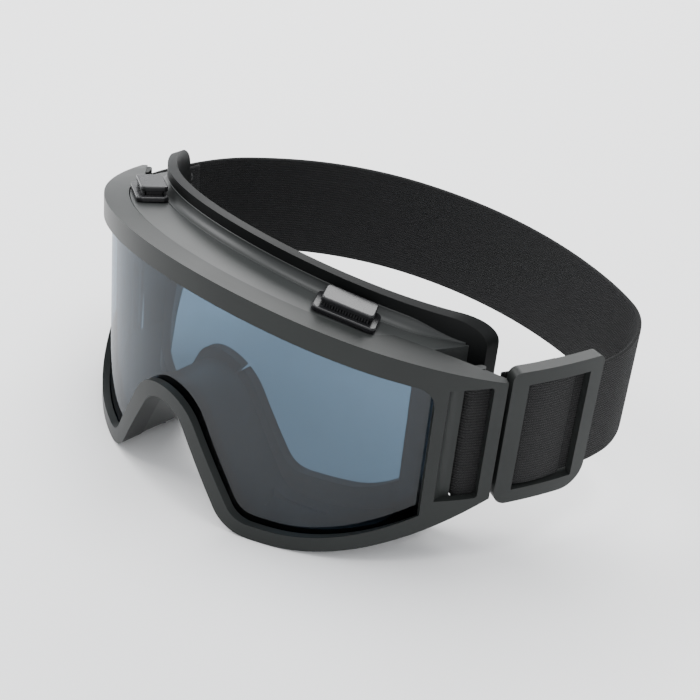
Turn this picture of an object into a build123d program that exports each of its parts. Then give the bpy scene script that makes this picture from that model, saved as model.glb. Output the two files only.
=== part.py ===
"""Wraparound eye-protection goggles: stiff frame, curved lens, soft body and seal, elastic strap.

Working frame: X to the wearer's left, +Y from the lens towards the face, +Z up.
y = 0 is the front of the lens frame on the centre line and z = 0 is the surface that the
cheeks rest on. At export everything moves so that the origin is the box's bottom centre.
"""
import os
from math import asin, cos, degrees, radians, sin, sqrt, tan

from build123d import *

# ---- driving dimensions, mm and degrees ----
HEIGHT = 93.8  # cheek rest to the middle of the top edge
FRONT_R = 95.0  # plan radius of the frame's front, middle stretch
FRONT_S = 80.0  # half length of that stretch, along the surface
WING_R = 122.0  # plan radius of the side wings
TIP_S = 117.6  # half length of the whole front, along the surface
PLATE_T = 2.6  # front plate of the frame
WALL_T = 2.2  # wall round the frame's edge
WALL_DEPTH = 8.5  # how far that wall reaches back
OPENING_S = 94.0  # half length of the lens opening
RIM_TOP = 7.8  # rim above the lens
RIM_LOW = 5.6  # rim below the lens
TOP_R = 191.6  # the top edge, seen from the front
CROWN_R = 284.0  # the same edge as an arc that runs back with the top surface,
TOP_FALL = 0.15  # which falls this much for each millimetre back
TOP_SPARE = 2.0  # outlines reach this far above that surface before it trims them
NOSE_R = 11.0  # crown of the nose arch
FLANK = 61.0  # slope of its flanks
NOSE_FOOT = 28.0  # where a flank would meet the cheek's flat
TOE_R = 14.0  # curve between them
REST_X = 43.0  # the cheek is flat out to here
CHEEK_R = 60.9  # and then rises on this arc
CORNER_R = 8.0  # corners of the lens opening
LENS_T = 2.2
LENS_DEPTH = 2.9  # front of the frame to front of the lens
LENS_INSET = 3.0  # outline of the frame to the lens's edge
GASKET_T = 1.7
GASKET_W = 3.0
GASKET_S = 80.5  # inner end of the gasket, along the surface
BODY_S = 88.0  # where the body's side walls start, along the surface
BODY_INSET = 0.3
BODY_WALL_INSET = 4.4
SEAT_R = 92.0  # plan radius of the face side
SEAT_Y = 27.0  # front of the seal on the centre line
SEAL_T = 3.2
SEAL_HALF_W = 76.8
SEAL_CORNER_R = 13.0
BRIDGE_R = 17.5  # over the nose, in the eye opening
SEAL_RISE = 3.0  # above the frame's top edge
STRAP_W = 40.0
STRAP_T = 1.5
STRAP_Z = 46.5  # middle of the strap
STRAP_DEPTH = 3.7  # middle of the strap behind the frame's front
RETURN_DEPTH = 8.2  # middle of its folded-back layer
POST_S = 107.5  # front edge of the post that the strap is folded round
POST_L = 2.8
POST_T = 2.4
SIDE_R = 160.0  # plan radius of the strap beside the temple
SIDE_L = 46.0
SLIDER_L = 34.0
SLIDER_H = 52.0
SLIDER_T = 2.6
RAIL_DEPTH = 4.5  # of the slider's rails, above and below the strap
SLIDER_CORNERS = ((False, False, 3.0), (False, True, 2.5), (True, False, 5.0), (True, True, 9.0))
LUG_L = 6.0  # lugs that carry the slider's middle bar
LUG_H = 2.4
SLIDER_AT = 18.5  # middle of the slider, along the strap from the frame's tip
LAP_END = 14.0  # where the folded-back layer ends
BAR_R = 1.0
TAB_T = 1.1
VENT_DEPTH = 15.4  # middle of a top vent behind the frame's front
VENT_TURN = 37.3  # and round from the middle
VENT_HEADING = 32.0  # turn of its long side
VENT_SIZE = (21.3, 11.0)
CAP_SIZE = (17.4, 9.2)
CAP_BACK = 0.8  # the cap and the hole under it lie behind the base's middle
VENT_HOLE = (15.0, 6.4)
BASE_H = 1.9
RIB_H = 1.4
CAP_H = 1.8
RIB_COUNT = 17
RIB_T = 0.5
LOW_VENT_AT = (39.5, 26.5)
LOW_VENT_TURN = 22.0
LOW_VENT_SIZE = (20.0, 7.6)
GAP = 0.3  # between pieces that only lie side by side
FAR = 160.0

SIDES = {"right": 1, "left": -1}  # +X is "right" as seen from the front


# ---- the front surface: a vertical cylinder of two plan radii ----
def front_angle(s):
    """Turn of the front surface from the middle, in radians, s along the surface."""
    a = abs(s)
    middle = min(a, FRONT_S) / FRONT_R
    return middle + max(a - FRONT_S, 0.0) / WING_R


def front_point(s, depth=0.0):
    """Plan point at s along the front surface and depth behind it."""
    turn = FRONT_S / FRONT_R
    angle = front_angle(s)
    on_wing = abs(s) > FRONT_S
    radius = WING_R if on_wing else FRONT_R
    centre_x = (FRONT_R - WING_R) * sin(turn) if on_wing else 0.0
    centre_y = FRONT_R - (FRONT_R - WING_R) * cos(turn) if on_wing else FRONT_R
    x = centre_x + (radius - depth) * sin(angle)
    return (x if s >= 0 else -x, centre_y - (radius - depth) * cos(angle))


def front_edges(depth, s_end):
    """Plan edges at a depth behind the front surface, from -s_end to s_end."""
    mid = FRONT_S if s_end > FRONT_S else s_end
    edges = [ThreePointArc(front_point(-mid, depth), front_point(0, depth), front_point(mid, depth))]
    if s_end > FRONT_S:
        half = (FRONT_S + s_end) / 2
        for side in (-1, 1):
            stops = [front_point(side * s, depth) for s in (FRONT_S, half, s_end)]
            edges.append(ThreePointArc(*stops))
    return edges


def upright(edges, low=-5.0, high=110.0):
    """Solid of a closed plan outline between two heights."""
    face = make_face(edges)
    return extrude(Pos(0, 0, low) * face, amount=high - low, dir=(0, 0, 1))


def front_band(near, far, s_end):
    """Curved slab between two depths behind the front surface."""
    ends = [
        Line(front_point(side * s_end, near), front_point(side * s_end, far)) for side in (-1, 1)
    ]
    return upright(front_edges(near, s_end) + front_edges(far, s_end) + ends)


# ---- outlines in elevation: the wearer's left half, made of lines and tangent arcs ----
def nose_edge(inset):
    """Lower edge from the middle of the nose arch to the flat of the cheek."""
    lean = 1 / cos(radians(FLANK))
    slope = tan(radians(FLANK))
    apex = NOSE_FOOT * slope + inset * lean
    foot = (apex - inset) / slope
    crown_r = NOSE_R + inset
    start = (crown_r * sin(radians(FLANK)), apex - crown_r * sin(radians(FLANK)) * slope)
    top = apex - crown_r * lean + crown_r
    turn = radians(FLANK / 2)
    middle = (crown_r * sin(turn), 0, top - crown_r * (1 - cos(turn)))
    crown = ThreePointArc((0, 0, top), middle, (start[0], 0, start[1]))
    rest = (REST_X, 0, inset)
    flank = FilletPolyline((start[0], 0, start[1]), (foot, 0, inset), rest, radius=TOE_R - inset)
    return [crown, flank]


def cheek_edge(inset, x_end):
    """Lower edge from the flat of the cheek out to x_end."""
    radius = CHEEK_R - inset
    half = (x_end - REST_X) / 2
    stops = [(REST_X + dx, 0, CHEEK_R - sqrt(radius**2 - dx**2)) for dx in (0.0, half, 2 * half)]
    return ThreePointArc(*stops)


def top_z(x, inset=0.0):
    """Height of the top edge, one arc from wing to wing, or of a line that far inside it."""
    return HEIGHT - TOP_R + sqrt((TOP_R - inset) ** 2 - x * x)


def elevation(top_inset, low_inset, s_end):
    """Half outline inset from the frame's own, cut off square at s_end."""
    x_end = front_point(s_end)[0]
    stops = [(x, 0, top_z(x, top_inset)) for x in (0.0, x_end / 2, x_end)]
    nose = nose_edge(low_inset)
    cheek = cheek_edge(low_inset, x_end)
    sides = [Line(stops[0], nose[0] @ 0), Line(stops[-1], cheek @ 1)]
    return make_face([ThreePointArc(*stops)] + nose + [cheek] + sides)


def through(face, corner=0.0):
    """Solid of an elevation outline, run along Y through the whole object."""
    if corner:
        far = max(v.X for v in face.vertices())
        face = fillet([v for v in face.vertices() if v.X > far - 0.01], corner)
    return extrude(Pos(0, -5, 0) * face, amount=FAR, dir=(0, 1, 0))


def crown_z(x, y, inset=0.0):
    """Height of the top surface, or of one that far under it."""
    return HEIGHT - CROWN_R + sqrt((CROWN_R - inset) ** 2 - x * x) - TOP_FALL * y


def under_top(inset):
    """Everything under the top surface or under one inset from it."""
    ahead = -5.0
    stops = [(x, ahead, crown_z(x, ahead, inset)) for x in (0.0, 60.0, 120.0)]
    arc = ThreePointArc(*stops)
    sides = Polyline(stops[-1], (120.0, ahead, -60.0), (0, ahead, -60.0), stops[0])
    return extrude(make_face([arc, sides]), amount=FAR, dir=(0, 1, -TOP_FALL))


def outline(inset, s_end, corner=0.0):
    """Solid of the frame's outline, inset all round and cut off at s_end."""
    return through(elevation(inset - TOP_SPARE, inset, s_end), corner) & under_top(inset)


def opening():
    """Solid of the lens opening through the front plate, its outer corners rounded."""
    cut = front_band(-1.0, PLATE_T, OPENING_S) & through(elevation(RIM_TOP, RIM_LOW, TIP_S))
    end_x = front_point(OPENING_S, PLATE_T)[0] - 0.5
    ends = [e for e in cut.edges() if min(v.X for v in e.vertices()) > end_x]
    return fillet([e for e in ends if abs(e.tangent_at(0.5).Z) < 0.5 and e.length < 6], CORNER_R)


def both_halves(half):
    return half + mirror(half, Plane.YZ)


# ---- frame ----
def beside(s, depth, length, width, height, z):
    """Box set square to the front surface at s, its middle at a depth behind it."""
    x, y = front_point(s, depth)
    turn = degrees(front_angle(s)) * (1 if s >= 0 else -1)
    return Pos(x, y, z) * Rot(0, 0, turn) * Box(length, width, height)


WINDOW_S = (104.0, 113.0)
WINDOW_Z = (24.8, 68.2)
WING_S = 72.0  # where the wing plates start
WING_IN_S = 80.0
WING_IN_DEPTH = 12.0
TIP_DEPTH = 2.2


def behind_frame(gap=0.0):
    """Region of the plan behind the frame's walls and its wing plates, wearer's left half."""
    edge = WALL_DEPTH + gap
    arc = ThreePointArc(front_point(0, edge), front_point(WING_S / 2, edge), front_point(WING_S, edge))
    tip = front_point(TIP_S, TIP_DEPTH + gap)
    root = front_point(WING_IN_S, WING_IN_DEPTH + gap)
    outside = (tip[0] + 30.0, tip[1] + 30.0 * (tip[1] - root[1]) / (tip[0] - root[0]))
    corners = [arc @ 1, root, outside, (FAR, FAR), (0, FAR), arc @ 0]
    return upright([arc, Polyline(*corners)], -20.0, 130.0)


def strap_post(side):
    """Bar behind the wing's window that the strap is folded round."""
    middle = POST_S + POST_L / 2
    bar = beside(side * middle, (STRAP_DEPTH + RETURN_DEPTH) / 2, POST_L + POST_T, POST_T, 52.0, STRAP_Z)
    return fillet(bar.edges().filter_by(Axis.Z), POST_T / 2 - 0.05)


def wing_window(side):
    """Slot that the strap is seen through, with a hollow ramp leading into it."""
    middle = sum(WINDOW_S) / 2
    high = WINDOW_Z[1] - WINDOW_Z[0]
    z = sum(WINDOW_Z) / 2
    slot = beside(side * middle, 2.0, WINDOW_S[1] - WINDOW_S[0], 12.0, high, z)
    ramp_r = 6.0
    x, y = front_point(side * 103.0, -3.4)
    ramp = Pos(x, y, z) * Cylinder(ramp_r, high)
    return fillet(slot.edges().filter_by(lambda e: abs(e.tangent_at(0.5).Z) < 0.1), 1.2) + ramp


def frame_shell():
    """Front plate with a wall round its edge, the walls widened into plates at the wings."""
    half = front_band(0, 2 * WALL_DEPTH, TIP_S) & outline(0.0, TIP_S + 2)
    hollow = front_band(PLATE_T, 3 * WALL_DEPTH, TIP_S + 2) & outline(WALL_T, TIP_S - WALL_T)
    hollow -= beside(95.9, 4.3, 2.2, 8.4, 2 * HEIGHT, HEIGHT / 2)
    hollow -= beside(100.0, 2.2, 8.0, 4.2, 2 * HEIGHT, HEIGHT / 2)
    half -= hollow
    half -= behind_frame()
    half -= opening()
    half -= wing_window(1)
    half += strap_post(1)
    return both_halves(half)


# ---- lens and its gasket ----
def lens():
    edge = outline(LENS_INSET, OPENING_S + 0.6, CORNER_R)
    return both_halves(front_band(LENS_DEPTH, LENS_DEPTH + LENS_T, OPENING_S + 0.6) & edge)


def lens_gasket():
    near = LENS_DEPTH + LENS_T + 0.1
    half = front_band(near, near + GASKET_T, OPENING_S - 0.2) & outline(LENS_INSET, TIP_S)
    half -= outline(LENS_INSET + GASKET_W, GASKET_S, CORNER_R)
    return both_halves(half)


# ---- soft body and face seal ----
BODY_DEPTH = LENS_DEPTH + LENS_T + GASKET_T + 0.4
BODY_REAR_X = 73.6  # half width where the body meets the seal
SEAT_CENTRE_Y = SEAT_Y + SEAT_R


def seat_y(x, back=0.0):
    """Plan curve of the seal's front, or of a surface that far behind it."""
    return SEAT_CENTRE_Y - sqrt((SEAT_R - back) ** 2 - x * x)


def body_plan(depth, side_gap, overrun=0.0):
    """Plan of the body between the lens and the seal, its side walls moved in by side_gap."""
    s_end = BODY_S - side_gap
    x_end = BODY_REAR_X - side_gap
    back = overrun - GAP
    corners = [(side * x_end, seat_y(x_end, back)) for side in (-1, 1)]
    arc = ThreePointArc(corners[0], (0, seat_y(0, back)), corners[1])
    walls = [Line(front_point(side * s_end, depth), corners[(side + 1) // 2]) for side in (-1, 1)]
    return upright(front_edges(depth, s_end) + walls + [arc])


def shelf_plane(side):
    """Plane on the body's top shelf at a vent: X along the vent, Z square to the shelf."""
    reach = FRONT_R - VENT_DEPTH
    x = reach * sin(radians(VENT_TURN))
    y = FRONT_R - reach * cos(radians(VENT_TURN))
    fall = -x / sqrt(CROWN_R**2 - x * x)
    turn = radians(VENT_HEADING)
    along = (cos(turn), side * sin(turn), side * (fall * cos(turn) - TOP_FALL * sin(turn)))
    origin = (side * x, y, crown_z(x, y, BODY_INSET))
    return Plane(origin=origin, x_dir=along, z_dir=(-side * fall, TOP_FALL, 1))


def low_vent_place(side, z):
    x, y = LOW_VENT_AT
    return Pos(side * x, y, z) * Rot(0, 0, side * LOW_VENT_TURN)


def goggle_body():
    plan = body_plan(BODY_DEPTH, 0)
    half = plan & outline(WALL_T + 0.4, TIP_S)
    half += plan & outline(BODY_INSET, TIP_S) & behind_frame(GAP)
    half -= body_plan(BODY_DEPTH - 3, 2.2, 3.0) & outline(BODY_WALL_INSET, TIP_S)
    body = both_halves(half)
    for side in SIDES.values():
        hole = Box(VENT_HOLE[0] + 2.6, VENT_HOLE[1] + 2.6, 20)
        body -= shelf_plane(side) * Pos(0, CAP_BACK, 0) * hole
        body -= low_vent_place(side, 0) * Box(LOW_VENT_SIZE[0], LOW_VENT_SIZE[1], 20)
    return body


SLIT_AT = (8.8, 45.8)  # relief slit in the nose bridge, open at its upper edge
SLIT_SLOPE = 54.2
SLIT_L = 12.0
SLIT_W = 1.1


def seal_outline():
    """Outer edge of the seal's half, seen from the front: its top runs level with the frame's."""
    stops = [(x, 0, top_z(x, -SEAL_RISE)) for x in (0.0, SEAL_HALF_W / 2, SEAL_HALF_W)]
    jaw = [stops[-1], (SEAL_HALF_W, 0, 22), (64, 0, 0), (REST_X, 0, 0)]
    nose = nose_edge(0.0)
    middle = Line(stops[0], nose[0] @ 0)
    face = make_face([ThreePointArc(*stops), Polyline(*jaw), middle] + nose)
    temple = [v for v in face.vertices() if v.X > SEAL_HALF_W - 0.01 and v.Z > 50]
    face = fillet(temple, SEAL_CORNER_R)
    return fillet([v for v in face.vertices() if v.X > 60 and v.Z < 30], 14.0)


def eye_opening():
    """Half of the opening for the eyes, over the nose bridge."""
    foot = (29.5, 13.5)
    slope = radians(60.0)
    centre_z = foot[1] + foot[0] * tan(slope) - BRIDGE_R / cos(slope)
    spring = (BRIDGE_R * sin(slope), centre_z + BRIDGE_R * cos(slope))
    corners = [(0, 84), (50, 80), (69, 68), (71.5, 26), (54, 13.5), foot, spring, (0, spring[1])]
    radii = {50: 30.0, 69: 12.0, 71.5: 14.0, 54: 18.0, 29.5: 9.0}
    face = make_face(Polyline(*[(x, 0, z) for x, z in corners], close=True))
    for x, radius in radii.items():
        face = fillet([v for v in face.vertices() if abs(v.X - x) < 0.01], radius)
    bridge = Pos(0, 0, centre_z) * Rot(90, 0, 0) * Cylinder(BRIDGE_R, 2 * FAR)
    return through(face) - bridge


def face_seal():
    reach = SEAL_HALF_W + 5
    arcs = []
    for back in (0.0, SEAL_T):
        ends = [(side * reach, seat_y(reach, back)) for side in (-1, 1)]
        arcs.append(ThreePointArc(ends[0], (0, seat_y(0, back)), ends[1]))
    caps = [Line((s * reach, seat_y(reach)), (s * reach, seat_y(reach, SEAL_T))) for s in (-1, 1)]
    half = (upright(arcs + caps) & through(seal_outline())) - eye_opening()
    x, z = SLIT_AT
    slit = Pos(x, 0, z) * Rot(0, -SLIT_SLOPE, 0) * Box(SLIT_L, 2 * FAR, SLIT_W)
    return both_halves(half) - slit


# ---- vents ----
def vent_place(side, z=0.0):
    """Place on the shelf in the middle of a vent's hole."""
    return shelf_plane(side) * Pos(0, CAP_BACK, z)


def top_vent_base(side):
    """Plate on the shelf with a spigot through it and a row of ribs that holds the cap up."""
    plate = Pos(0, 0, BASE_H / 2) * Box(*VENT_SIZE, BASE_H)
    plate = fillet(plate.edges().filter_by(Axis.Z), 2.0)
    plate = fillet(plate.edges().group_by(Axis.Z)[-1], 0.6)
    plate -= Box(VENT_SIZE[0] + 1, VENT_SIZE[1] + 1, 0.7)
    base = shelf_plane(side) * plate
    base += vent_place(side, -1.0) * Box(VENT_HOLE[0] + 2, VENT_HOLE[1] + 2, 5.0)
    base -= vent_place(side) * Box(*VENT_HOLE, 20)
    pitch = (CAP_SIZE[0] - 3.0) / (RIB_COUNT - 1)
    for i in range(RIB_COUNT):
        x = (i - (RIB_COUNT - 1) / 2) * pitch
        for row in (-1, 1):
            y = row * (CAP_SIZE[1] / 2 - 0.9)
            rib = Box(RIB_T, 0.8, RIB_H + 0.2)
            base += vent_place(side, BASE_H + RIB_H / 2 - 0.1) * Pos(x, y, 0) * rib
    return base


def top_vent_cap(side):
    """Flat cap that lifts off the ribs, with a plug that centres it in the base."""
    cap = Pos(0, 0, CAP_H / 2) * Box(*CAP_SIZE, CAP_H)
    cap = fillet(cap.edges().filter_by(Axis.Z), 1.6)
    cap = fillet(cap.edges().group_by(Axis.Z)[-1], 0.6)
    cap += Pos(0, 0, -1.2) * Box(VENT_HOLE[0] - 0.8, VENT_HOLE[1] - 0.8, 2.6)
    return vent_place(side, BASE_H + RIB_H) * cap


def top_vent_mesh(side):
    """Fine screen across the bottom of the vent."""
    sheet = Box(VENT_HOLE[0] - 0.2, VENT_HOLE[1] - 0.2, 0.6)
    for i in range(7):
        sheet -= Pos((i - 3) * 2.0, 0, 0) * Box(1.2, VENT_HOLE[1] - 1.4, 2)
    return vent_place(side, -2.6) * sheet


def low_vent_grille(side):
    """Slotted plate in the body's bottom wall."""
    plate = Box(LOW_VENT_SIZE[0] - 0.2, LOW_VENT_SIZE[1] - 0.2, 1.8)
    for i in range(7):
        plate -= Pos((i - 3) * 2.4, 0, 0) * Box(1.2, LOW_VENT_SIZE[1] - 2.4, 4)
    return low_vent_place(side, 2.3) * plate


def low_vent_mesh(side):
    """Screen that lies on the grille."""
    sheet = Box(LOW_VENT_SIZE[0] - 0.4, LOW_VENT_SIZE[1] - 0.4, 0.5)
    return low_vent_place(side, 3.6) * sheet


# ---- strap, slider and its sewn end ----
def side_centre():
    """Plan centre of the strap's arc beside the temple."""
    x, y = front_point(TIP_S, STRAP_DEPTH)
    angle = front_angle(TIP_S)
    return (x - SIDE_R * sin(angle), y + SIDE_R * cos(angle))


def side_point(along, out=0.0):
    """Plan point beside the temple: along the strap from the tip, out from its middle."""
    cx, cy = side_centre()
    angle = front_angle(TIP_S) + along / SIDE_R
    return (cx + (SIDE_R + out) * sin(angle), cy - (SIDE_R + out) * cos(angle))


def side_arc(start, end, out=0.0):
    return ThreePointArc(side_point(start, out), side_point((start + end) / 2, out), side_point(end, out))


def track(side, depth):
    """Plan edge behind the wing's end, from the post to the tip."""
    stops = [front_point(side * s, depth) for s in (POST_S, (POST_S + TIP_S) / 2, TIP_S)]
    return ThreePointArc(*stops)


def fold(side):
    """Plan edge of the fold round the post."""
    half = (RETURN_DEPTH - STRAP_DEPTH) / 2
    return ThreePointArc(
        front_point(side * POST_S, STRAP_DEPTH),
        front_point(side * (POST_S - half), STRAP_DEPTH + half),
        front_point(side * POST_S, RETURN_DEPTH),
    )


# plan points of the strap behind the head
BACK = [(88.0, 130.8), (30.0, 143.0), (-26.0, 131.5), (-73.0, 101.0)]
SEW_END = (-82.3, 84.0)


def strap():
    """One length of webbing: folded round both posts, level all the way round the head."""
    back = STRAP_DEPTH - RETURN_DEPTH
    path = [track(1, STRAP_DEPTH), fold(1), track(1, RETURN_DEPTH), side_arc(0, LAP_END, back)]
    path.append(side_arc(0, SIDE_L))
    for point in BACK:
        path.append(TangentArc(path[-1] @ 1, point, tangent=path[-1] % 1))
    path.append(TangentArc(path[-1] @ 1, front_point(-TIP_S, STRAP_DEPTH), tangent=path[-1] % 1))
    path += [track(-1, STRAP_DEPTH), fold(-1), track(-1, RETURN_DEPTH)]
    path.append(Line(front_point(-TIP_S, RETURN_DEPTH), SEW_END))
    band = Sketch() + [trace(edge, STRAP_T) for edge in path]
    return extrude(Pos(0, 0, STRAP_Z - STRAP_W / 2) * band, amount=STRAP_W, dir=(0, 0, 1))


def around(along, out, length, depth, height, z=STRAP_Z):
    """Box set square to the strap beside the temple."""
    x, y = side_point(along, out)
    turn = degrees(front_angle(TIP_S) + along / SIDE_R)
    return Pos(x, y, z) * Rot(0, 0, turn) * Box(length, depth, height)


def side_shell(start, end, inner, outer, low, high):
    """Piece of a cylinder that follows the strap beside the temple."""
    ends = [Line(side_point(a, inner), side_point(a, outer)) for a in (start, end)]
    return upright([side_arc(start, end, inner), side_arc(start, end, outer)] + ends, low, high)


BAR_OUT = -3.5
FRONT_BAR = 6.0
REAR_BAR = 5.0


def slider():
    """Three-bar slider: two outer bars, two rails and a round middle bar behind the strap."""
    start = SLIDER_AT - SLIDER_L / 2
    end = SLIDER_AT + SLIDER_L / 2
    inner = STRAP_T / 2 + GAP
    outer = inner + SLIDER_T
    clear = STRAP_W / 2 + 0.8
    body = side_shell(start, end, outer - RAIL_DEPTH, outer, STRAP_Z - SLIDER_H / 2, STRAP_Z + SLIDER_H / 2)
    for lower, rear, radius in SLIDER_CORNERS:
        body = fillet(corner_edges(body, lower, rear), radius)
    body -= side_shell(start - 2, end + 2, -10, inner, STRAP_Z - clear, STRAP_Z + clear)
    body -= side_shell(start + FRONT_BAR, end - REAR_BAR, -10, 10, STRAP_Z - clear, STRAP_Z + clear)
    for low in (STRAP_Z - clear - LUG_H, STRAP_Z + clear):
        first = SLIDER_AT - LUG_L / 2
        body += side_shell(first, first + LUG_L, BAR_OUT - BAR_R, inner + 0.5, low, low + LUG_H)
    x, y = side_point(SLIDER_AT, BAR_OUT)
    return body + Pos(x, y, STRAP_Z) * Cylinder(BAR_R, 2 * (clear + LUG_H) - 1)


def corner_edges(solid, lower, rear):
    """Edge through the thickness at one corner of the slider's plate."""
    middle_y = side_point(SLIDER_AT)[1]
    short = [e for e in solid.edges() if abs(e.length - RAIL_DEPTH) < 0.1]
    at_height = [e for e in short if (e.center().Z < STRAP_Z) == lower]
    return [e for e in at_height if (e.center().Y > middle_y) == rear]


def strap_end():
    """Sewn loop of the strap's end round the slider's middle bar, with its tail."""
    x, y = side_point(SLIDER_AT, BAR_OUT)
    inner_r = BAR_R + 0.05
    outer_r = inner_r + TAB_T
    ring = Cylinder(outer_r, STRAP_W) - Cylinder(inner_r, STRAP_W + 2)
    tail_out = BAR_OUT - outer_r + TAB_T / 2 - 1.6
    heights = (STRAP_Z - STRAP_W / 2, STRAP_Z + STRAP_W / 2)
    tail = side_shell(3.0, SLIDER_AT, tail_out - TAB_T / 2, tail_out + TAB_T / 2, *heights)
    link = around(SLIDER_AT - TAB_T / 2, (tail_out + BAR_OUT - inner_r) / 2 - 0.1, TAB_T, 2.2, STRAP_W)
    return Pos(x, y, STRAP_Z) * ring + tail + link


def thread_row(spots, turn, length, thick):
    """Separate stitches at plan spots, stacked up the width of the strap."""
    count = 9
    pitch = (STRAP_W - 6.0) / (count - 1)
    stitches = []
    for x, y in spots:
        for i in range(count):
            z = STRAP_Z + (i - (count - 1) / 2) * pitch
            stitches.append(Pos(x, y, z) * Rot(0, 0, turn) * Box(length, thick, pitch * 0.6))
    return stitches


def strap_stitches():
    """Rows of thread that hold the folded end at the left wing."""
    x0, y0 = front_point(-TIP_S, RETURN_DEPTH)
    x1, y1 = SEW_END
    run = sqrt((x1 - x0) ** 2 + (y1 - y0) ** 2)
    nx, ny = (y1 - y0) / run, -(x1 - x0) / run
    off = STRAP_T / 2 + 0.25
    turn = degrees(asin((y1 - y0) / run))
    spots = [(x0 + k * (x1 - x0) + off * nx, y0 + k * (y1 - y0) + off * ny) for k in (0.55, 0.75)]
    return Compound(thread_row(spots, turn, 0.5, 0.4))


def build():
    nodes = {
        "frame_shell": frame_shell(),
        "lens": lens(),
        "lens_gasket": lens_gasket(),
        "goggle_body": goggle_body(),
        "face_seal": face_seal(),
        "strap": strap(),
        "slider": slider(),
        "strap_end": strap_end(),
        "strap_stitches": strap_stitches(),
    }
    for name, side in SIDES.items():
        nodes["top_vent_base_" + name] = top_vent_base(side)
        nodes["top_vent_cap_" + name] = top_vent_cap(side)
        nodes["top_vent_mesh_" + name] = top_vent_mesh(side)
        nodes["low_vent_grille_" + name] = low_vent_grille(side)
        nodes["low_vent_mesh_" + name] = low_vent_mesh(side)
    return nodes


def write(nodes):
    """Move the origin to the bottom centre of the whole object's box and write each node."""
    os.makedirs("parts", exist_ok=True)
    box = Compound(list(nodes.values())).bounding_box()
    shift = Pos(-box.center().X, -box.center().Y, -box.min.Z)
    for name, shape in nodes.items():
        export_step(shift * shape, "parts/" + name + ".step")
    print("shift", shift.position, "size", box.size, "side arc centre", side_centre())


write(build())
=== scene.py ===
from math import acos, cos, pi, radians, sin, sqrt

import bmesh
import bpy
from mathutils import Matrix, Vector


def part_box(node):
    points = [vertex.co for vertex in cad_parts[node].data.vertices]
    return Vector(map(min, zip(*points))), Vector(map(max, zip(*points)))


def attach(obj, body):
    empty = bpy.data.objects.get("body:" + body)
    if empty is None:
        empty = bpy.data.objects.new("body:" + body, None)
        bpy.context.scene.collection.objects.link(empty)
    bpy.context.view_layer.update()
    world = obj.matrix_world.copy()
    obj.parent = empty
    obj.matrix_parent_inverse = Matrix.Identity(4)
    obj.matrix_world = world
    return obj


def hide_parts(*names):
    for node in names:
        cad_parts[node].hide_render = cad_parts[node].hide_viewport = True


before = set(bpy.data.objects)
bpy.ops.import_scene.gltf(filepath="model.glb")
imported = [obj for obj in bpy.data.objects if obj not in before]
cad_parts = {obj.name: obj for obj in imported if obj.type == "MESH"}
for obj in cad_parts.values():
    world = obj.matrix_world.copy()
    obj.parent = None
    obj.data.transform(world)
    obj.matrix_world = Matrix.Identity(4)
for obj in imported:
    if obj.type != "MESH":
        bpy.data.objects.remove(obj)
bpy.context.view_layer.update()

MM = 0.001
low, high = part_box("frame_shell")
MIDDLE = (low.x + high.x) / 2  # the frame's mirror plane
FRONT = low.y  # its front on the centre line
HEIGHT = high.z / MM


def at(x, y, z):
    """Point in the row frame from millimetres in the goggles' own: mirror plane, front, cheek rest."""
    return Vector((MIDDLE + x * MM, FRONT + y * MM, z * MM))


# ---- camera: three-quarter view from the front and above, slightly rolled ----
AZIMUTH, ELEVATION, ROLL = radians(42.0), radians(32.7), radians(6.2)
DISTANCE, OFF_X, OFF_Y = 493.4, -56.8, 29.5  # mm, along and across the view
SENSOR_W, FOCAL = 36.0, 81.66
NEAREST = 0.01  # m


def camera():
    back = Vector((sin(AZIMUTH) * cos(ELEVATION), -cos(AZIMUTH) * cos(ELEVATION), sin(ELEVATION)))
    level = Vector((cos(AZIMUTH), sin(AZIMUTH), 0))
    upward = back.cross(level)
    right = cos(ROLL) * level + sin(ROLL) * upward
    up = cos(ROLL) * upward - sin(ROLL) * level
    place = DISTANCE * back - OFF_X * right - OFF_Y * up
    data = bpy.data.cameras.new("camera")
    data.sensor_width = SENSOR_W
    data.lens = FOCAL
    data.clip_start = NEAREST
    eye = bpy.data.objects.new("camera", data)
    turn = Matrix((right, up, back)).transposed().to_4x4()
    eye.matrix_world = Matrix.Translation(at(place.x, place.y, place.z + HEIGHT)) @ turn
    bpy.context.scene.collection.objects.link(eye)
    bpy.context.scene.camera = eye


# ---- plan of the front surface and the strap's side arc, as the CAD has them, in mm ----
FRONT_R, WING_R = 95.0, 122.0  # radii of the middle stretch and of the wings
FRONT_S, TIP_S = 80.0, 117.6  # where the wings start and end, along the surface
POST_S = 107.5  # front edge of the post that the strap is folded round
STRAP_DEPTH, RETURN_DEPTH = 3.7, 8.2  # the strap's two layers behind the front
SIDE_R, SIDE_L = 160.0, 46.0  # the strap's arc beside the temple
STRAP_Z, STRAP_W, STRAP_T = 46.5, 40.0, 1.5


def front_angle(s):
    a = abs(s)
    return min(a, FRONT_S) / FRONT_R + max(a - FRONT_S, 0.0) / WING_R


def front_point(s, depth=0.0):
    """Plan point at s along the front surface and depth behind it, in mm."""
    turn = FRONT_S / FRONT_R
    angle = front_angle(s)
    on_wing = abs(s) > FRONT_S
    radius = WING_R if on_wing else FRONT_R
    centre_x = (FRONT_R - WING_R) * sin(turn) if on_wing else 0.0
    centre_y = FRONT_R - (FRONT_R - WING_R) * cos(turn) if on_wing else FRONT_R
    x = centre_x + (radius - depth) * sin(angle)
    return (x if s >= 0 else -x, centre_y - (radius - depth) * cos(angle))


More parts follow.
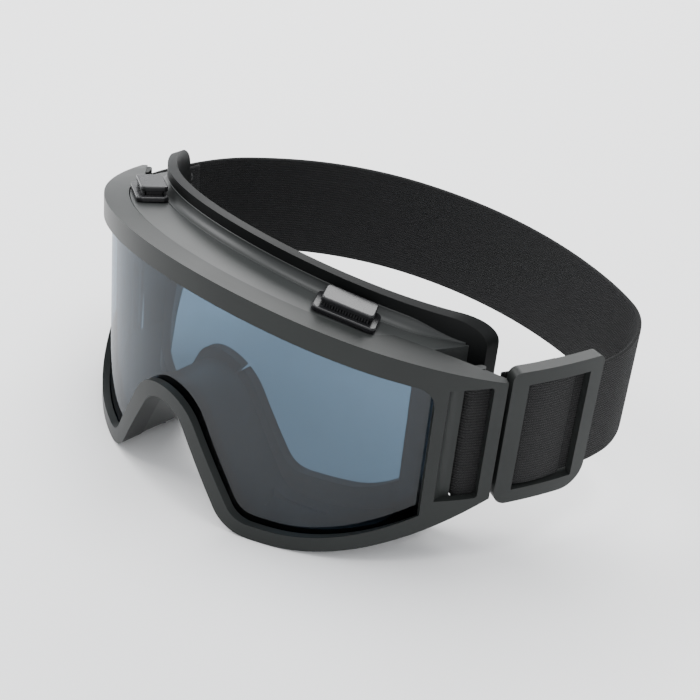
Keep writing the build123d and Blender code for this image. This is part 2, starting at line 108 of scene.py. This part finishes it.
def side_point(along, out=0.0):
    """Plan point beside the temple: along the strap from the frame's tip, out from its middle."""
    x, y = front_point(TIP_S, STRAP_DEPTH)
    start = front_angle(TIP_S)
    centre = (x - SIDE_R * sin(start), y + SIDE_R * cos(start))
    angle = start + along / SIDE_R
    return (centre[0] + (SIDE_R + out) * sin(angle), centre[1] - (SIDE_R + out) * cos(angle))


# ---- mesh helpers ----
def new_piece(name, mesh, body, material):
    piece = bpy.data.objects.new(name, mesh)
    bpy.context.scene.collection.objects.link(piece)
    mesh.materials.clear()
    mesh.materials.append(material)
    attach(piece, body)
    return piece


def settle(piece):
    """Replace the piece's mesh with the result of its modifiers."""
    bpy.context.view_layer.update()
    shown = piece.evaluated_get(bpy.context.evaluated_depsgraph_get())
    mesh = bpy.data.meshes.new_from_object(shown)
    piece.modifiers.clear()
    piece.data = mesh


WELD, FLAT_ANGLE = 2e-6, 0.6  # m and degrees: what counts as one vertex and as one flat face
SHARP_ANGLE = 28.0  # edges sharper than this are rounded


def rounded(node, body, material, width, segments=3):
    """Copy of a CAD node with its sharp edges rounded off, standing for that node."""
    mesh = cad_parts[node].data.copy()
    work = bmesh.new()
    work.from_mesh(mesh)
    bmesh.ops.remove_doubles(work, verts=work.verts, dist=WELD)
    bmesh.ops.dissolve_limit(
        work, angle_limit=radians(FLAT_ANGLE), verts=work.verts, edges=work.edges, delimit=set()
    )
    bmesh.ops.dissolve_degenerate(work, dist=WELD / 2, edges=work.edges)
    work.to_mesh(mesh)
    work.free()
    piece = new_piece(node + "_moulded", mesh, body, material)
    bevel = piece.modifiers.new("round", "BEVEL")
    bevel.width = width * MM
    bevel.segments = segments
    bevel.limit_method = "ANGLE"
    bevel.angle_limit = radians(SHARP_ANGLE)
    bevel.harden_normals = True
    mesh.shade_smooth()
    settle(piece)
    piece.data.shade_smooth()
    smooth = piece.modifiers.new("edges", "WEIGHTED_NORMAL")
    smooth.keep_sharp = True
    settle(piece)
    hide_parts(node)


def tube(name, rings):
    """Closed mesh that runs through rings of points."""
    work = bmesh.new()
    loops = [[work.verts.new(point) for point in ring] for ring in rings]
    count = len(rings[0])
    for a, b in zip(loops, loops[1:]):
        for i in range(count):
            j = (i + 1) % count
            work.faces.new((a[i], a[j], b[j], b[i]))
    work.faces.new(loops[0][::-1])
    work.faces.new(loops[-1])
    bmesh.ops.recalc_face_normals(work, faces=work.faces)
    mesh = bpy.data.meshes.new(name)
    work.to_mesh(mesh)
    work.free()
    mesh.shade_smooth()
    return mesh


# ---- plan paths of the strap ----
def arc_through(start, end, heading, steps):
    """Points of the arc from start to end that leaves start at a heading; also its last heading."""
    sx, sy = start
    dx, dy = end[0] - sx, end[1] - sy
    chord = sqrt(dx * dx + dy * dy)
    cross = heading[0] * dy - heading[1] * dx
    dot = heading[0] * dx + heading[1] * dy
    half = acos(max(-1.0, min(1.0, dot / chord)))
    turn = 2 * half * (1 if cross > 0 else -1)
    if abs(turn) < 1e-4:
        points = [(sx + dx * i / steps, sy + dy * i / steps) for i in range(1, steps + 1)]
        return points, heading
    radius = chord / (2 * sin(half))
    side = 1 if turn > 0 else -1
    cx, cy = sx - side * radius * heading[1], sy + side * radius * heading[0]
    points = []
    for i in range(1, steps + 1):
        a = turn * i / steps
        rx, ry = sx - cx, sy - cy
        points.append((cx + rx * cos(a) - ry * sin(a), cy + rx * sin(a) + ry * cos(a)))
    last = (
        heading[0] * cos(turn) - heading[1] * sin(turn),
        heading[0] * sin(turn) + heading[1] * cos(turn),
    )
    return points, last


# stops of the strap round the back of the head, in plan, from right to left
BACK = [(88.0, 130.8), (30.0, 143.0), (-26.0, 131.5), (-73.0, 101.0)]
SEWN_END = [(-84.5, 74.0), (-82.8, 84.0)]  # the layer that is sewn down behind the left wing
WING_STOPS = (109.5, 112.0, 114.5, 116.5)  # along the front surface, from post to tip
BACK_RISE = 6.5  # how much higher the strap rides behind the head
POST_DROP = 1.2  # and how much lower at the wings
POST_SPREAD = 0.07  # and by what share wider there
FOLD_STEPS, SIDE_STEPS, BACK_STEPS, LAST_STEPS = 8, 16, 14, 12


def fold(side):
    """Half turn round a post, in the order in which the strap takes it from right to left."""
    half = (RETURN_DEPTH - STRAP_DEPTH) / 2
    points = []
    for i in range(FOLD_STEPS + 1):
        a = pi * i / FOLD_STEPS
        depth = STRAP_DEPTH + half * (1 + side * cos(a))
        points.append(front_point(side * (POST_S - half * sin(a)), depth))
    return points


def main_path():
    """Plan points of the strap from the right post's fold, round the head, to the left one."""
    points = [front_point(TIP_S, RETURN_DEPTH), front_point((POST_S + TIP_S) / 2, RETURN_DEPTH)]
    points += fold(1)
    points += [front_point(s, STRAP_DEPTH) for s in WING_STOPS]
    points += [side_point(k * SIDE_L / SIDE_STEPS) for k in range(SIDE_STEPS + 1)]
    end = front_angle(TIP_S) + SIDE_L / SIDE_R
    heading = (cos(end), sin(end))
    for stop in BACK:
        more, heading = arc_through(points[-1], stop, heading, BACK_STEPS)
        points += more
    points += arc_through(points[-1], front_point(-TIP_S, STRAP_DEPTH), heading, LAST_STEPS)[0]
    points += [front_point(-s, STRAP_DEPTH) for s in reversed(WING_STOPS)]
    points += fold(-1)
    points += [front_point(-s, RETURN_DEPTH) for s in (WING_STOPS[1], TIP_S)]
    return points + SEWN_END


CURVE_STEPS = 6  # between two points of a plan line


def even(points, step):
    """The same line with points evenly spaced along a smooth curve through them."""
    fine = []
    count = len(points)
    for i in range(count - 1):
        p0 = points[max(i - 1, 0)]
        p1, p2 = points[i], points[i + 1]
        p3 = points[min(i + 2, count - 1)]
        for k in range(CURVE_STEPS):
            t = k / CURVE_STEPS
            fine.append(tuple(
                0.5 * (2 * p1[a] + (p2[a] - p0[a]) * t
                       + (2 * p0[a] - 5 * p1[a] + 4 * p2[a] - p3[a]) * t * t
                       + (3 * p1[a] - p0[a] - 3 * p2[a] + p3[a]) * t**3)
                for a in (0, 1)))
    fine.append(points[-1])
    gaps = [0.0]
    for a, b in zip(fine, fine[1:]):
        gaps.append(gaps[-1] + sqrt((b[0] - a[0]) ** 2 + (b[1] - a[1]) ** 2))
    total = int(gaps[-1] / step)
    spaced = []
    j = 0
    for i in range(total + 1):
        want = gaps[-1] * i / total
        while gaps[j + 1] < want and j < len(gaps) - 2:
            j += 1
        share = (want - gaps[j]) / max(gaps[j + 1] - gaps[j], 1e-9)
        spaced.append(tuple(fine[j][a] + share * (fine[j + 1][a] - fine[j][a]) for a in (0, 1)))
    return spaced, gaps[-1]


RIB_PITCH = 1.0  # mm, across the webbing
RIB_DEEP = 0.09
RIB_STEPS = 4  # mesh rows in each rib
LEAST_T = 0.12  # half thickness at the webbing's edges


def webbing(name, points, thick, width, middle, lift=None, step=1.1, spread=None):
    """Closed ribbed ribbon that stands on edge along a plan line; returns its mesh and length."""
    line, length = even(points, step)
    rows = int(width / RIB_PITCH) * RIB_STEPS
    edge = thick / 2
    section = []
    for side in (1, -1):
        for i in range(rows + 1):
            k = i / rows if side > 0 else 1 - i / rows
            h = (k - 0.5) * width
            near_edge = min(k, 1 - k) * width
            pull = min(1.0, sqrt(max(0.0, 1 - (1 - min(near_edge, edge) / edge) ** 2)))
            deep = RIB_DEEP * 0.5 * (1 + cos(2 * pi * k * width / RIB_PITCH))
            section.append((side * max(edge * pull - deep, LEAST_T), h))
    rings = []
    for i, (x, y) in enumerate(line):
        xa, ya = line[max(i - 1, 0)]
        xb, yb = line[min(i + 1, len(line) - 1)]
        run = sqrt((xb - xa) ** 2 + (yb - ya) ** 2)
        nx, ny = (yb - ya) / run, -(xb - xa) / run
        rise = lift(x, y) if lift else 0.0
        wide = spread(y) if spread else 1.0
        rings.append([at(x + nx * o, y + ny * o, middle + rise + h * wide) for o, h in section])
    mesh = tube(name, rings)
    weave = mesh.attributes.new("weave", "FLOAT_VECTOR", "POINT")
    values = []
    for i in range(len(rings)):
        for o, h in section:
            values += [length * i / (len(rings) - 1), h, o]
    weave.data.foreach_set("vector", values)
    return mesh, length


# ---- materials ----
GRAIN_DETAIL, PATCH_DETAIL = 4.0, 3.0


def shader(name, color, roughness, **more):
    """New material with a Principled base; an underscore in a key stands for a space."""
    material = bpy.data.materials.new(name)
    material.use_nodes = True
    tree = material.node_tree
    base = tree.nodes["Principled BSDF"]
    base.inputs["Base Color"].default_value = (*color, 1.0)
    base.inputs["Roughness"].default_value = roughness
    for key, value in more.items():
        base.inputs[key.replace("_", " ")].default_value = value
    return material, tree, base


def add_noise(tree, vector, scale, detail):
    noise = tree.nodes.new("ShaderNodeTexNoise")
    noise.inputs["Scale"].default_value = scale
    noise.inputs["Detail"].default_value = detail
    tree.links.new(vector, noise.inputs["Vector"])
    return noise.outputs["Fac"]


def add_bump(tree, base, height, strength, distance):
    bump = tree.nodes.new("ShaderNodeBump")
    bump.inputs["Strength"].default_value = strength
    bump.inputs["Distance"].default_value = distance
    tree.links.new(height, bump.inputs["Height"])
    tree.links.new(bump.outputs["Normal"], base.inputs["Normal"])


def add_tones(tree, base, level, dark, light, margin):
    """Base colour from dark to light by a level, both tones reached a margin before its ends."""
    ramp = tree.nodes.new("ShaderNodeValToRGB")
    first, last = ramp.color_ramp.elements
    first.position, last.position = margin, 1 - margin
    first.color, last.color = (*dark, 1.0), (*light, 1.0)
    tree.links.new(level, ramp.inputs["Fac"])
    tree.links.new(ramp.outputs["Color"], base.inputs["Base Color"])


def grain(tree, base, scale, strength, distance):
    """Moulded grain as a bump; returns the coordinates that it lies in."""
    coord = tree.nodes.new("ShaderNodeTexCoord").outputs["Object"]
    add_bump(tree, base, add_noise(tree, coord, scale, GRAIN_DETAIL), strength, distance)
    return coord


def mottled(tree, base, coord, scale, dark, light):
    """Slow variation of the colour over the surface."""
    add_tones(tree, base, add_noise(tree, coord, scale, PATCH_DETAIL), dark, light, 0.3)


def rubbed(tree, base, coord, scale, least, most):
    """Slow variation of the roughness over the surface."""
    span = tree.nodes.new("ShaderNodeMapRange")
    span.inputs["To Min"].default_value = least
    span.inputs["To Max"].default_value = most
    tree.links.new(add_noise(tree, coord, scale, PATCH_DETAIL), span.inputs["Value"])
    tree.links.new(span.outputs["Result"], base.inputs["Roughness"])


def frame_plastic():
    material, tree, base = shader("frame_plastic", (0.008, 0.009, 0.0087), 0.42, Specular_IOR_Level=0.17)
    coord = grain(tree, base, 2600.0, 0.10, 0.00012)
    mottled(tree, base, coord, 30.0, (0.0155, 0.017, 0.0165), (0.0185, 0.0205, 0.0195))
    rubbed(tree, base, coord, 45.0, 0.38, 0.46)
    return material


def body_plastic():
    material, tree, base = shader("body_plastic", (0.018, 0.0196, 0.019), 0.40, Specular_IOR_Level=0.36)
    coord = grain(tree, base, 1800.0, 0.08, 0.0001)
    mottled(tree, base, coord, 28.0, (0.020, 0.022, 0.0215), (0.024, 0.026, 0.0255))
    rubbed(tree, base, coord, 40.0, 0.40, 0.50)
    return material


def seal_rubber():
    material, tree, base = shader("seal_rubber", (0.005, 0.005, 0.0053), 0.48, Specular_IOR_Level=0.12)
    coord = grain(tree, base, 900.0, 0.05, 0.0001)
    mottled(tree, base, coord, 35.0, (0.005, 0.0055, 0.0055), (0.007, 0.0075, 0.0075))
    rubbed(tree, base, coord, 50.0, 0.42, 0.52)
    return material


def gasket_rubber():
    material, tree, base = shader("gasket_rubber", (0.012, 0.012, 0.012), 0.6)
    coord = grain(tree, base, 1500.0, 0.1, 0.0001)
    mottled(tree, base, coord, 60.0, (0.010, 0.010, 0.010), (0.015, 0.015, 0.015))
    return material


def vent_plastic():
    material, tree, base = shader("vent_plastic", (0.010, 0.010, 0.011), 0.26, Specular_IOR_Level=0.3)
    coord = grain(tree, base, 700.0, 0.03, 0.0001)
    mottled(tree, base, coord, 80.0, (0.008, 0.008, 0.009), (0.013, 0.013, 0.014))
    rubbed(tree, base, coord, 90.0, 0.22, 0.32)
    return material


def mesh_screen():
    material, tree, base = shader("mesh_screen", (0.02, 0.02, 0.02), 0.7)
    coord = tree.nodes.new("ShaderNodeTexCoord")
    weave = tree.nodes.new("ShaderNodeTexChecker")
    weave.inputs["Scale"].default_value = 2400.0
    weave.inputs["Color1"].default_value = (0.035, 0.035, 0.036, 1)
    weave.inputs["Color2"].default_value = (0.008, 0.008, 0.008, 1)
    tree.links.new(coord.outputs["Object"], weave.inputs["Vector"])
    tree.links.new(weave.outputs["Color"], base.inputs["Base Color"])
    add_bump(tree, base, weave.outputs["Fac"], 0.6, 0.0002)
    return material


SMOKE = (0.24, 0.32, 0.39, 1)  # light that gets through one face of the lens
SKIN_LEAST, SKIN_GAIN, SKIN_POWER = 0.035, 0.42, 5.0  # mirrored share, square on and towards the rim


def smoke_lens():
    """Smoke tint that lets straight light through, under a mirror-smooth skin."""
    material = bpy.data.materials.new("smoke_lens")
    material.use_nodes = True
    tree = material.node_tree
    tree.nodes.clear()
    out = tree.nodes.new("ShaderNodeOutputMaterial")
    mix = tree.nodes.new("ShaderNodeMixShader")
    clear = tree.nodes.new("ShaderNodeBsdfTransparent")
    clear.inputs["Color"].default_value = SMOKE
    gloss = tree.nodes.new("ShaderNodeBsdfGlossy")
    gloss.inputs["Color"].default_value = (0.95, 0.97, 1.0, 1)
    gloss.inputs["Roughness"].default_value = 0.03
    skin = tree.nodes.new("ShaderNodeLayerWeight")
    skin.inputs["Blend"].default_value = 0.5
    steep = tree.nodes.new("ShaderNodeMath")
    steep.operation = "POWER"
    steep.inputs[1].default_value = SKIN_POWER
    share = tree.nodes.new("ShaderNodeMath")
    share.operation = "MULTIPLY_ADD"
    share.inputs[1].default_value = SKIN_GAIN
    share.inputs[2].default_value = SKIN_LEAST
    tree.links.new(skin.outputs["Facing"], steep.inputs[0])
    tree.links.new(steep.outputs[0], share.inputs[0])
    tree.links.new(share.outputs[0], mix.inputs["Fac"])
    tree.links.new(clear.outputs["BSDF"], mix.inputs[1])
    tree.links.new(gloss.outputs["BSDF"], mix.inputs[2])
    tree.links.new(mix.outputs["Shader"], out.inputs["Surface"])
    return material


LOOP_PITCH, LOOP_LEAN = 0.8, 0.9  # mm, the knitted loops along each row and how far they lean
WANDER, WANDER_SCALE = 0.5, 0.9  # how far the rows stray, in mm, and how quickly


def elastic():
    """Knitted elastic: rows along the webbing, with loops leaning both ways along each row, and painted
    shade that darkens the grooves between them.
    """
    material, tree, base = shader("elastic", (0.006, 0.006, 0.006), 0.85, Specular_IOR_Level=0.3)
    base.inputs["Sheen Weight"].default_value = 0.03
    base.inputs["Sheen Roughness"].default_value = 0.5
    weave = tree.nodes.new("ShaderNodeAttribute")
    weave.attribute_name = "weave"
    parts = tree.nodes.new("ShaderNodeSeparateXYZ")
    tree.links.new(weave.outputs["Vector"], parts.inputs["Vector"])

    def maths(operation, a, b=None):
        node = tree.nodes.new("ShaderNodeMath")
        node.operation = operation
        for i, value in enumerate((a, b)):
            if value is None:
                continue
            if isinstance(value, (int, float)):
                node.inputs[i].default_value = value
            else:
                tree.links.new(value, node.inputs[i])
        return node.outputs[0]

    stray = add_noise(tree, weave.outputs["Vector"], WANDER_SCALE, PATCH_DETAIL)
    wander = maths("MULTIPLY", maths("SUBTRACT", stray, 0.5), WANDER)
    along = maths("ADD", parts.outputs["X"], wander)
    across = maths("ADD", parts.outputs["Y"], wander)
    rows = maths("COSINE", maths("MULTIPLY", across, 2 * pi / RIB_PITCH))
    arch = maths("ABSOLUTE", maths("SINE", maths("MULTIPLY", across, pi / RIB_PITCH)))
    leaning = maths("ADD", along, maths("MULTIPLY", arch, LOOP_LEAN))
    loops = maths("SINE", maths("MULTIPLY", leaning, 2 * pi / LOOP_PITCH))
    height = maths("ADD", maths("MULTIPLY", rows, -0.5), maths("MULTIPLY", loops, 0.5))
    add_bump(tree, base, height, 0.8, 0.0003)
    # painted shade: the colour follows the knit's height, darkest in the grooves and lightest on the
    # raised loops
    level = maths("ADD", maths("MULTIPLY", height, 0.4), 0.5)
    add_tones(tree, base, level, (0.0015, 0.0015, 0.0015), (0.010, 0.010, 0.0105), 0.1)
    return material


def thread():
    material, tree, base = shader("thread", (0.03, 0.03, 0.03), 0.6)
    coord = grain(tree, base, 4000.0, 0.3, 0.0001)
    mottled(tree, base, coord, 500.0, (0.02, 0.02, 0.02), (0.045, 0.045, 0.045))
    return material


# ---- strap pieces, in mm ----
def eased(t):
    """Smooth step from 0 to 1."""
    t = max(0.0, min(1.0, t))
    return t * t * (3 - 2 * t)


WING_END_Y, WING_BLEND = 66.0, 5.0  # in front of this y the strap is pulled down and spread
RISE_RIGHT_Y, RISE_LEFT_Y, RISE_END_Y = 100.0, 72.0, 136.0  # where it starts and ends to rise


def at_wing(y):
    """From 0 on the strap beside the head to 1 at the posts, by the plan's y."""
    return eased((WING_END_Y - y) / WING_BLEND)


def strap_spread(y):
    return 1 + POST_SPREAD * at_wing(y)


def strap_lift(x, y):
    """The strap rides higher towards the back of the head and lower at the wings."""
    start = RISE_RIGHT_Y if x > 0 else RISE_LEFT_Y
    return BACK_RISE * eased((y - start) / (RISE_END_Y - start)) - POST_DROP * at_wing(y)


LAP_L, LAP_STEPS = 14.0, 8  # the folded-back layer at the right wing


def make_strap(material):
    mesh, length = webbing(
        "strap_band", main_path(), STRAP_T, STRAP_W, STRAP_Z, strap_lift, spread=strap_spread
    )
    band = new_piece("strap_band", mesh, "goggles", material)
    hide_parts("strap")
    back = STRAP_DEPTH - RETURN_DEPTH
    folded = [side_point(k * LAP_L / LAP_STEPS, back) for k in range(LAP_STEPS + 1)]
    tail, tail_length = webbing("strap_fold", folded, STRAP_T, STRAP_W, STRAP_Z - POST_DROP)
    lap = new_piece("strap_fold", tail, "goggles", material)
    print("strap length mm", round(length, 1), "folded layer", round(tail_length, 1))


SLIDER_AT = 18.5  # the slider's middle bar, along the side arc
BAR_OUT, BAR_R, BAR_GAP = -3.5, 1.0, 0.1  # out from the strap's middle, radius, play in the loop
TAB_T, TAB_W = 1.1, STRAP_W - 0.4  # the sewn end
TAIL_OUT, TAIL_START, TAIL_PITCH, TAIL_COUNT = -6.7, 3.0, 2.6, 6  # its straight part, point by point
LOOP_PARTS, LOOP_TAKEN = 14, 12  # its turn round the bar stops short of where it is sewn
TAB_STEP = 0.7
SWELL_START, SWELL_L, SWELL_PARTS = 7.8, 18.6, 24  # the strap's bulge over the bar
SWELL_OUT, SWELL_RISE, SWELL_T, SWELL_STEP = 0.95, 1.25, 0.9, 0.6
SWELL_LEAN, SWELL_FULL = 0.8, 0.7  # powers that move its top forward and flatten it


def tab_path():
    loop = [side_point(TAIL_START + k * TAIL_PITCH, TAIL_OUT) for k in range(TAIL_COUNT)]
    ring_r = BAR_R + BAR_GAP + TAB_T / 2
    for i in range(LOOP_TAKEN + 1):
        a = -pi / 2 + 2 * pi * i / LOOP_PARTS
        loop.append(side_point(SLIDER_AT + ring_r * cos(a), BAR_OUT + ring_r * sin(a)))
    return loop


def swell_path():
    swell = []
    for k in range(SWELL_PARTS + 1):
        t = k / SWELL_PARTS
        bulge = sin(pi * t**SWELL_LEAN) ** SWELL_FULL
        swell.append(side_point(SWELL_START + SWELL_L * t, SWELL_OUT + SWELL_RISE * bulge))
    return swell


def make_strap_end(material):
    """Sewn loop round the slider's middle bar, and the strap's swell over that bar."""
    mesh, length = webbing("strap_loop", tab_path(), TAB_T, TAB_W, STRAP_Z, step=TAB_STEP)
    piece = new_piece("strap_loop", mesh, "slider", material)
    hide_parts("strap_end")
    mesh, length = webbing("strap_swell", swell_path(), SWELL_T, STRAP_W, STRAP_Z, step=SWELL_STEP)
    piece = new_piece("strap_swell", mesh, "slider", material)


# ---- cove between the shelf and the seal, in mm ----
SEAT_R, SEAT_Y = 92.0, 27.0  # plan arc of the seal's front
CROWN_R, TOP_FALL, SHELF_INSET = 284.0, 0.15, 0.3  # the shelf's curved and tilted surface
COVE_R, COVE_X = 3.6, 72.6
COVE_FADE, COVE_LEAST = 14.0, 0.12  # it narrows to this share towards both ends
COVE_PARTS, COVE_ROWS = 120, 12
COVE_PROUD = 0.02
TUCK_IN, TUCK_DOWN = 0.2, 0.3  # its hidden edge, inside the seal and below the shelf


def crown_z(x, y):
    """Height of the shelf's surface."""
    return HEIGHT - CROWN_R + sqrt((CROWN_R - SHELF_INSET) ** 2 - x * x) - TOP_FALL * y


def make_cove(material):
    """Hollow curve that carries the body's shelf up to the seal's flange."""
    rings = []
    for i in range(COVE_PARTS + 1):
        x = -COVE_X + 2 * COVE_X * i / COVE_PARTS
        y = SEAT_Y + SEAT_R - sqrt(SEAT_R**2 - x * x)
        nx, ny = x / SEAT_R, (y - SEAT_Y - SEAT_R) / SEAT_R
        radius = COVE_R * (COVE_LEAST + (1 - COVE_LEAST) * eased((COVE_X - abs(x)) / COVE_FADE))
        ring = []
        for k in range(COVE_ROWS + 1):
            t = pi / 2 * k / COVE_ROWS
            d, h = radius * (1 - sin(t)), radius * (1 - cos(t))
            px, py = x + nx * d, y + ny * d
            ring.append(at(px, py, crown_z(px, py) + h + COVE_PROUD))
        ring.append(at(x - nx * TUCK_IN, y - ny * TUCK_IN, crown_z(x, y) - TUCK_DOWN))
        rings.append(ring)
    new_piece("shelf_cove", tube("shelf_cove", rings), "goggles", material)


# ---- moulded parts ----
EDGE_R = {"frame_shell": 0.55, "goggle_body": 0.5, "face_seal": 1.2, "slider": 0.6}  # mm
BASE_EDGE_R, CAP_EDGE_R, GRILLE_EDGE_R = 0.18, 0.2, 0.15


def make_rigid(materials):
    rounded("frame_shell", "goggles", materials["frame"], EDGE_R["frame_shell"])
    rounded("goggle_body", "goggles", materials["body"], EDGE_R["goggle_body"])
    rounded("face_seal", "goggles", materials["seal"], EDGE_R["face_seal"], segments=4)
    rounded("slider", "slider", materials["frame"], EDGE_R["slider"])
    vent = materials["vent"]
    for name in ("right", "left"):
        rounded("top_vent_base_" + name, "goggles", vent, BASE_EDGE_R, segments=2)
        rounded("top_vent_cap_" + name, "cap_" + name, vent, CAP_EDGE_R, segments=2)
        rounded("low_vent_grille_" + name, "goggles", vent, GRILLE_EDGE_R, segments=2)


def dress_nodes(materials):
    """Materials for the CAD nodes that show as they are."""
    slots = {"lens": "lens", "lens_gasket": "gasket", "strap_stitches": "thread"}
    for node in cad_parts:
        if "mesh" in node:
            slots[node] = "screen"
    for node, key in slots.items():
        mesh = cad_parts[node].data
        mesh.materials.clear()
        mesh.materials.append(materials[key])


# ---- surroundings, in metres ----
SKY, SKY_STRENGTH = (0.9, 0.92, 0.95, 1), 1.15
FLOOR_HALF, FLOOR_Z = 3.0, -0.0002
LIGHTS = {  # place, height aimed at, size and power
    "key": ((-0.75, -0.25, 0.75), 0.05, (0.7, 0.5), 9.0),
    "fill": ((0.85, -0.55, 0.45), 0.04, (0.5, 0.8), 2.0),
    "top": ((0.0, 0.1, 1.1), 0.05, (0.8, 0.6), 10.0),
    "back": ((-0.5, 0.85, 0.6), 0.05, (0.9, 0.5), 10.0),
}


def area_light(name, place, aim_z, size, power):
    data = bpy.data.lights.new(name, "AREA")
    data.shape = "RECTANGLE"
    data.size, data.size_y = size
    data.energy = power
    light = bpy.data.objects.new(name, data)
    light.location = place
    view = Vector((0, 0, aim_z)) - Vector(place)
    light.rotation_euler = view.to_track_quat("-Z", "Y").to_euler()
    bpy.context.scene.collection.objects.link(light)


def surroundings():
    world = bpy.data.worlds.new("studio")
    world.use_nodes = True
    background = world.node_tree.nodes["Background"]
    background.inputs["Color"].default_value = SKY
    background.inputs["Strength"].default_value = SKY_STRENGTH
    bpy.context.scene.world = world
    mesh = bpy.data.meshes.new("floor")
    corners = [(x * FLOOR_HALF, y * FLOOR_HALF, 0) for x, y in ((-1, -1), (1, -1), (1, 1), (-1, 1))]
    mesh.from_pydata(corners, [], [(0, 1, 2, 3)])
    mesh.materials.append(shader("floor_paper", (0.96, 0.96, 0.96), 0.9)[0])
    floor = bpy.data.objects.new("floor", mesh)
    floor.location.z = FLOOR_Z
    bpy.context.scene.collection.objects.link(floor)
    for name, light in LIGHTS.items():
        area_light(name, *light)


camera()
materials = {
    "frame": frame_plastic(),
    "body": body_plastic(),
    "seal": seal_rubber(),
    "gasket": gasket_rubber(),
    "vent": vent_plastic(),
    "screen": mesh_screen(),
    "lens": smoke_lens(),
    "elastic": elastic(),
    "thread": thread(),
}
make_rigid(materials)
dress_nodes(materials)
make_strap(materials["elastic"])
make_strap_end(materials["elastic"])
make_cove(materials["body"])
surroundings()
